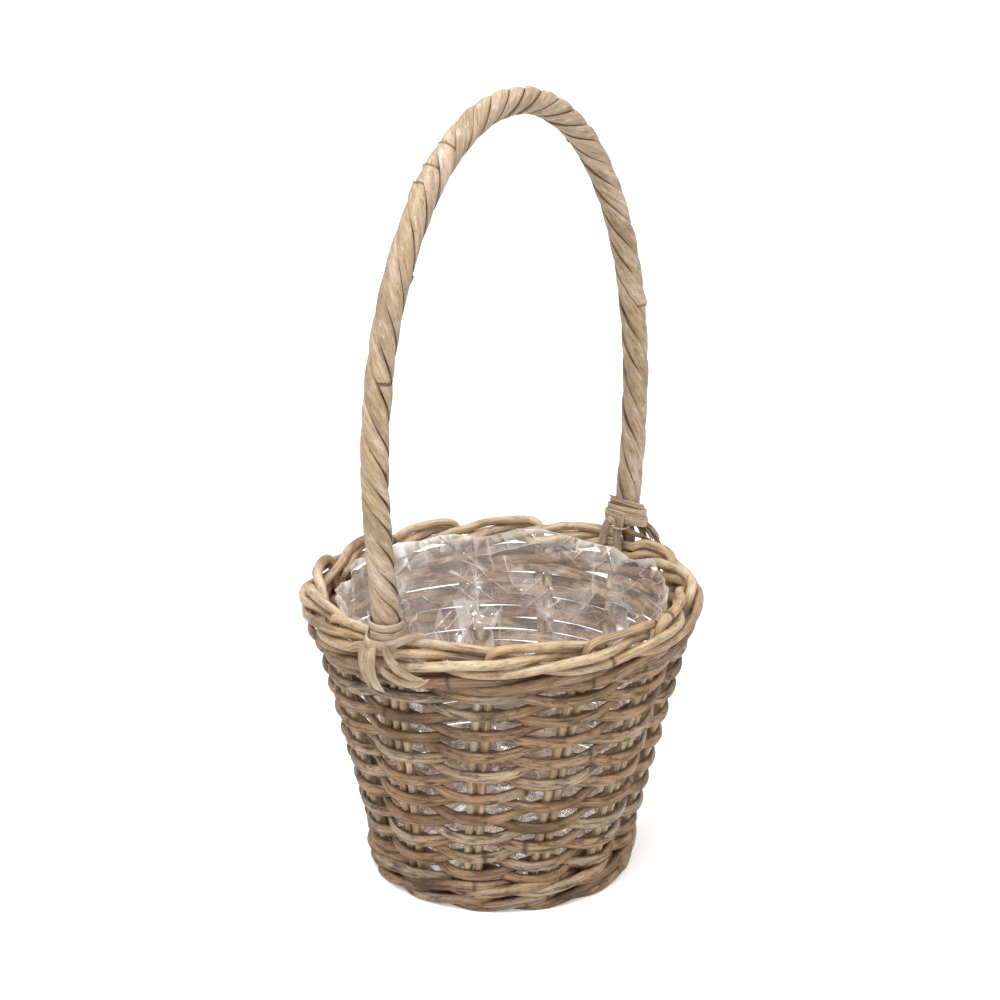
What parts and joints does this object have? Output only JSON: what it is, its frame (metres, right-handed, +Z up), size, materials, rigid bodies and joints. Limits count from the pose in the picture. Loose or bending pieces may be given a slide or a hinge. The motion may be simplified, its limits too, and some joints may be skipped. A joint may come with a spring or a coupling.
{
  "type": "rattan basket",
  "caption": "Round basket woven from grey-washed rattan, with a tall fixed hoop handle bound in cane peel and a loose liner of clear film.",
  "frame": {"origin": "middle of the basket's base, level with the flats on its lowest strands", "axes": "+Z up from the ground to the top of the handle, X from one foot of the handle to the other, +Y level and square to the handle"},
  "size_m": [0.2484, 0.2395, 0.4696],
  "materials": {
    "stake_cane": "round rattan core, pale tan, soft gloss on the border",
    "weaver_cane": "split rattan, grey-brown, matt, fine lengthwise grain",
    "wale_cane": "dark brown round rattan, matt",
    "base_cane": "grey-brown rattan, matt",
    "hoop_cane": "thick rattan core, matt",
    "peel": "flat cane peel, beige to tan, satin",
    "film": "clear film, glossy and creased"
  },
  "bodies": {
    "root": {"stake_01": "stake_cane", "stake_02": "stake_cane", "stake_03": "stake_cane", "stake_04": "stake_cane", "stake_05": "stake_cane", "stake_06": "stake_cane", "stake_07": "stake_cane", "stake_08": "stake_cane", "stake_09": "stake_cane", "stake_10": "stake_cane", "stake_11": "stake_cane", "stake_12": "stake_cane", "stake_13": "stake_cane", "bye_stake_01": "stake_cane", "bye_stake_02": "stake_cane", "bye_stake_03": "stake_cane", "bye_stake_04": "stake_cane", "bye_stake_05": "stake_cane", "bye_stake_06": "stake_cane", "bye_stake_07": "stake_cane", "bye_stake_08": "stake_cane", "bye_stake_09": "stake_cane", "bye_stake_10": "stake_cane", "bye_stake_11": "stake_cane", "bye_stake_12": "stake_cane", "bye_stake_13": "stake_cane", "weaver_1": "weaver_cane", "weaver_2": "weaver_cane", "weaver_3": "weaver_cane", "weaver_4": "weaver_cane", "weaver_5": "weaver_cane", "weaver_6": "weaver_cane", "weaver_7": "weaver_cane", "top_wale_1": "wale_cane", "top_wale_2": "wale_cane", "top_wale_3": "wale_cane", "base_wale_lower_1": "base_cane", "base_wale_lower_2": "base_cane", "base_wale_lower_3": "base_cane", "base_wale_upper_1": "base_cane", "base_wale_upper_2": "base_cane", "base_wale_upper_3": "base_cane", "base_stick_1": "base_cane", "base_stick_2": "base_cane", "base_stick_3": "base_cane", "base_stick_4": "base_cane", "base_stick_5": "base_cane", "base_stick_6": "base_cane", "base_weaver_1": "base_cane", "base_weaver_2": "base_cane", "handle_hoop": "hoop_cane", "handle_wrap_1": "peel", "handle_wrap_2": "peel", "handle_wrap_3": "peel", "handle_wrap_4": "peel", "lashing_left_collar": "peel", "lashing_left_strap": "peel", "lashing_right_collar": "peel", "lashing_right_strap": "peel", "liner": "film"}
  },
  "joints": []
}
